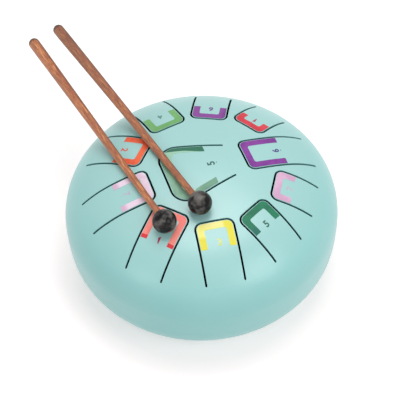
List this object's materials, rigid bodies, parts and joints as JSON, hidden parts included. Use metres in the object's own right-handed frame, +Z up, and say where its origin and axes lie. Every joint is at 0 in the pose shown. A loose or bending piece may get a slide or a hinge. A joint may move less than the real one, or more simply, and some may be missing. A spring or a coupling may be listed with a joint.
{
  "type": "steel tongue drum",
  "caption": "Round steel tongue drum with tuned tongues cut in its domed top, coloured note brackets, rubber feet, and mallets laid across it.",
  "frame": {"origin": "on the drum's axis, in the plane that its feet stand on", "axes": "+Z up along the drum's axis, -Y towards the front, +X to the right as seen from the front"},
  "size_m": [0.2263, 0.2524, 0.1179],
  "materials": {
    "drum_paint": "satin mint teal enamel",
    "foot_rubber": "matt",
    "mallet_wood": "oiled reddish brown hardwood",
    "ball_rubber": "polished black rubber",
    "vinyl_low_5": "printed vinyl",
    "vinyl_1": "printed vinyl",
    "vinyl_low_7": "printed vinyl",
    "vinyl_2": "printed vinyl",
    "vinyl_4": "printed vinyl",
    "vinyl_6": "printed vinyl",
    "vinyl_high_1": "printed vinyl",
    "vinyl_low_6": "printed vinyl",
    "vinyl_7": "printed vinyl",
    "vinyl_5": "printed vinyl",
    "vinyl_3": "printed vinyl"
  },
  "bodies": {
    "drum": {"top_shell": "drum_paint", "bottom_shell": "drum_paint", "foot_front_left": "foot_rubber", "foot_front_right": "foot_rubber", "foot_back_left": "foot_rubber", "foot_back_right": "foot_rubber"},
    "note_low_5": {"tongue_low_5": "drum_paint", "sticker_low_5": "vinyl_low_5"},
    "note_1": {"tongue_1": "drum_paint", "sticker_1": "vinyl_1"},
    "note_low_7": {"tongue_low_7": "drum_paint", "sticker_low_7": "vinyl_low_7"},
    "note_2": {"tongue_2": "drum_paint", "sticker_2": "vinyl_2"},
    "note_4": {"tongue_4": "drum_paint", "sticker_4": "vinyl_4"},
    "note_6": {"tongue_6": "drum_paint", "sticker_6": "vinyl_6"},
    "note_high_1": {"tongue_high_1": "drum_paint", "sticker_high_1": "vinyl_high_1"},
    "note_low_6": {"tongue_low_6": "drum_paint", "sticker_low_6": "vinyl_low_6"},
    "note_7": {"tongue_7": "drum_paint", "sticker_7": "vinyl_7"},
    "note_5": {"tongue_5": "drum_paint", "sticker_5": "vinyl_5"},
    "note_3": {"tongue_3": "drum_paint", "sticker_3": "vinyl_3"},
    "mallet_left": {"mallet_left_stick": "mallet_wood", "mallet_left_ball": "ball_rubber"},
    "mallet_right": {"mallet_right_stick": "mallet_wood", "mallet_right_ball": "ball_rubber"}
  },
  "joints": [
    {"name": "note_low_5_flex", "type": "hinge", "parent": "drum", "child": "note_low_5", "pos_m": [0.02091, 0.00651, 0.10152], "axis": [-0.2974, 0.9548, 0], "range_deg": [-0.3, 0.3], "stiffness_Nm_per_rad": 20},
    {"name": "note_1_flex", "type": "hinge", "parent": "drum", "child": "note_1", "pos_m": [-0.04269, -0.07546, 0.07839], "axis": [0.8704, -0.4924, 0], "range_deg": [-0.3, 0.3], "stiffness_Nm_per_rad": 20},
    {"name": "note_low_7_flex", "type": "hinge", "parent": "drum", "child": "note_low_7", "pos_m": [-0.08138, -0.02488, 0.07979], "axis": [0.2924, -0.9563, 0], "range_deg": [-0.3, 0.3], "stiffness_Nm_per_rad": 20},
    {"name": "note_2_flex", "type": "hinge", "parent": "drum", "child": "note_2", "pos_m": [-0.07627, 0.03638, 0.08029], "axis": [-0.4305, -0.9026, 0], "range_deg": [-0.3, 0.3], "stiffness_Nm_per_rad": 20},
    {"name": "note_4_flex", "type": "hinge", "parent": "drum", "child": "note_4", "pos_m": [-0.0377, 0.0773, 0.07903], "axis": [-0.8988, -0.4384, 0], "range_deg": [-0.3, 0.3], "stiffness_Nm_per_rad": 20},
    {"name": "note_6_flex", "type": "hinge", "parent": "drum", "child": "note_6", "pos_m": [0.01227, 0.08209, 0.08152], "axis": [-0.989, 0.1478, 0], "range_deg": [-0.3, 0.3], "stiffness_Nm_per_rad": 20},
    {"name": "note_high_1_flex", "type": "hinge", "parent": "drum", "child": "note_high_1", "pos_m": [0.0533, 0.06466, 0.0809], "axis": [-0.7716, 0.6361, 0], "range_deg": [-0.3, 0.3], "stiffness_Nm_per_rad": 20},
    {"name": "note_low_6_flex", "type": "hinge", "parent": "drum", "child": "note_low_6", "pos_m": [0.07923, 0.02728, 0.08086], "axis": [-0.3256, 0.9455, 0], "range_deg": [-0.3, 0.3], "stiffness_Nm_per_rad": 20},
    {"name": "note_7_flex", "type": "hinge", "parent": "drum", "child": "note_7", "pos_m": [0.08136, -0.01878, 0.08113], "axis": [0.225, 0.9744, 0], "range_deg": [-0.3, 0.3], "stiffness_Nm_per_rad": 20},
    {"name": "note_5_flex", "type": "hinge", "parent": "drum", "child": "note_5", "pos_m": [0.0601, -0.0601, 0.07989], "axis": [0.7071, 0.7071, 0], "range_deg": [-0.3, 0.3], "stiffness_Nm_per_rad": 20},
    {"name": "note_3_flex", "type": "hinge", "parent": "drum", "child": "note_3", "pos_m": [0.01502, -0.08519, 0.07857], "axis": [0.9848, 0.1736, 0], "range_deg": [-0.3, 0.3], "stiffness_Nm_per_rad": 20},
    {"name": "mallet_left_lift", "type": "slide", "parent": "drum", "child": "mallet_left", "axis": [0, 0, 1], "range_m": [0, 0.1]},
    {"name": "mallet_right_lift", "type": "slide", "parent": "drum", "child": "mallet_right", "axis": [0, 0, 1], "range_m": [0, 0.1]}
  ]
}
